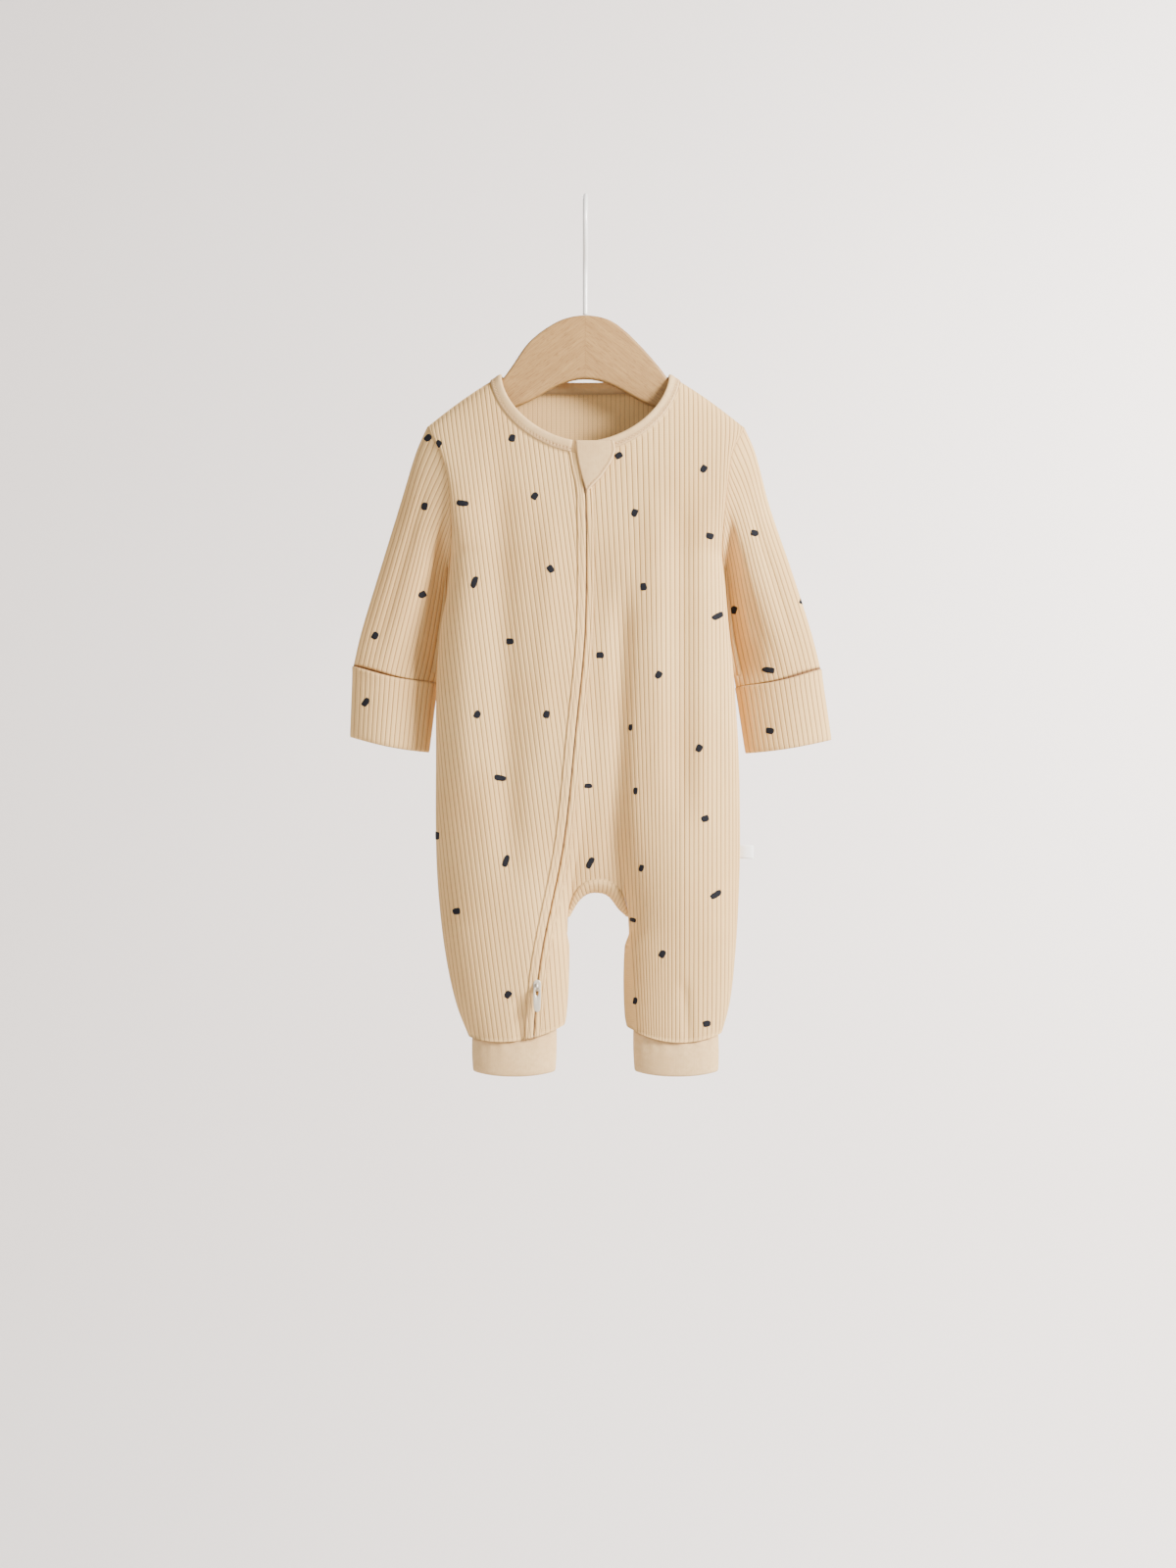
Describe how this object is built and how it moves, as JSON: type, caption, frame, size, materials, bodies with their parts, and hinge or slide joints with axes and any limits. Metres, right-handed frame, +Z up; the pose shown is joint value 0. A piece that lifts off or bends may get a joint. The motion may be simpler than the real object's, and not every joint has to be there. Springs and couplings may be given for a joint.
{
  "type": "baby sleepsuit",
  "caption": "Long-sleeved ribbed baby sleepsuit with ankle cuffs and a curved front zip, hanging on a small wooden hanger.",
  "frame": {"origin": "inside top of the hanger hook's bend, where it rests on a rail", "axes": "+Z up, the garment's front faces -Y, +X to the viewer's right"},
  "size_m": [0.3462, 0.0561, 0.6295],
  "materials": {
    "rib": "matte",
    "jersey": "matte",
    "tape": "matte",
    "zip": "satin",
    "label": "matte",
    "wood": "satin",
    "hook": "satin"
  },
  "bodies": {
    "garment": {"front_right_panel": "rib", "front_left_panel": "rib", "back_panel": "rib", "sleeve_right": "rib", "sleeve_left": "rib", "wrist_cuff_right": "rib", "wrist_cuff_left": "rib", "ankle_cuff_right": "jersey", "ankle_cuff_left": "jersey", "crotch_gusset": "rib", "neck_binding": "jersey", "zip_facing_right": "rib", "zip_facing_left": "rib", "zip_tape": "tape", "chin_guard": "jersey", "zip_slider": "zip", "side_label": "label", "hanger_body": "wood", "hanger_hook": "hook"},
    "pull_tab": {"zip_pull": "zip"}
  },
  "joints": [
    {"name": "pull_tab_hinge", "type": "hinge", "parent": "garment", "child": "pull_tab", "pos_m": [-0.034, -0.02588, -0.562], "axis": [-1, 0, 0], "range_deg": [0, 140]}
  ]
}
